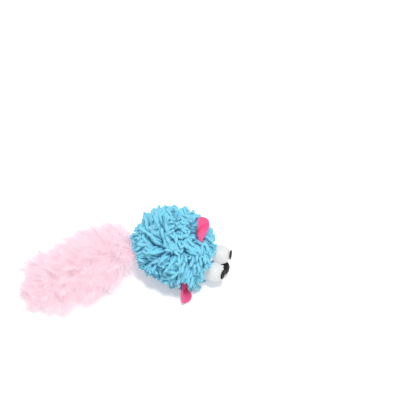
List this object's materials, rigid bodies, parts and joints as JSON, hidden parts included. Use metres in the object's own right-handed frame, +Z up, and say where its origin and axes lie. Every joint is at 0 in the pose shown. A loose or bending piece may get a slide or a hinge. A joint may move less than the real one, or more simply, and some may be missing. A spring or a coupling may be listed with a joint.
{
  "type": "catnip mouse",
  "caption": "Ball-bodied toy mouse for cats with a noodle-pile cover, ball eyes, felt ears and a jointed feather tail; rests on its belly.",
  "frame": {"origin": "middle of the pressed pile patch under the belly, on the floor", "axes": "+X the way the mouse looks, away from the tail; +Y its left; +Z up"},
  "size_m": [0.151, 0.0995, 0.0615],
  "materials": {
    "pile": "matte chenille microfibre noodle pile, sky blue",
    "blue_thread": "matte sewing thread",
    "stuffing": "matte polyester fibre",
    "pouch_cloth": "matte nonwoven cloth",
    "catnip": "dried crushed leaf",
    "eye_foam": "satin white foam ball",
    "pupil_black": "glossy black",
    "glue": "set hot-melt glue",
    "nose_black": "glossy black",
    "ear_felt": "matte hot pink felt",
    "ear_thread": "matte sewing thread",
    "tail_string": "twisted cotton string",
    "binding_thread": "matte whipping thread",
    "feather": "soft dyed down feather, pale pink"
  },
  "bodies": {
    "body": {"cover_back": "pile", "cover_belly": "pile", "seam_thread": "blue_thread", "stuffing_upper": "stuffing", "stuffing_lower": "stuffing", "pouch_upper": "pouch_cloth", "pouch_lower": "pouch_cloth", "catnip_fill": "catnip", "eye_ball_left": "eye_foam", "eye_ball_right": "eye_foam", "pupil_left": "pupil_black", "pupil_right": "pupil_black", "eye_glue_left": "glue", "eye_glue_right": "glue", "nose": "nose_black", "nose_glue": "glue", "ear_stitch_left": "ear_thread", "ear_stitch_right": "ear_thread", "tail_anchor": "blue_thread"},
    "ear_left": {"ear_left": "ear_felt"},
    "ear_right": {"ear_right": "ear_felt"},
    "tail_knot": {"tail_knot": "tail_string"},
    "tail_base": {"tail_string_base": "tail_string", "tail_binding": "binding_thread", "plume_base": "feather"},
    "tail_mid": {"tail_string_mid": "tail_string", "plume_mid": "feather"},
    "tail_tip": {"tail_string_tip": "tail_string", "plume_tip": "feather", "tail_end_knot": "tail_string"}
  },
  "joints": [
    {"name": "ear_left_flop", "type": "hinge", "parent": "body", "child": "ear_left", "pos_m": [0.02166, -0.00189, 0.04323], "axis": [-0.6413, -0.6283, 0.4405], "range_deg": [-20, 20], "stiffness_Nm_per_rad": 0.004},
    {"name": "ear_right_flop", "type": "hinge", "parent": "body", "child": "ear_right", "pos_m": [0.0114, -0.01741, 0.01433], "axis": [0.5119, 0.6534, -0.5577], "range_deg": [-25, 8], "stiffness_Nm_per_rad": 0.004},
    {"name": "tail_swing", "type": "hinge", "parent": "body", "child": "tail_knot", "pos_m": [-0.02602, 0, 0.02247], "axis": [0, 0, 1], "range_deg": [-50, 12]},
    {"name": "tail_lift", "type": "hinge", "parent": "tail_knot", "child": "tail_base", "pos_m": [-0.02602, 0, 0.02247], "axis": [-0.4848, 0.8746, 0], "range_deg": [0, 28]},
    {"name": "tail_bend_mid", "type": "hinge", "parent": "tail_base", "child": "tail_mid", "pos_m": [-0.06004, -0.01886, 0.0165], "axis": [0, 0, 1], "range_deg": [-41, 9]},
    {"name": "tail_bend_tip", "type": "hinge", "parent": "tail_mid", "child": "tail_tip", "pos_m": [-0.08302, -0.04184, 0.014], "axis": [0, 0, 1], "range_deg": [-22, 27]}
  ]
}
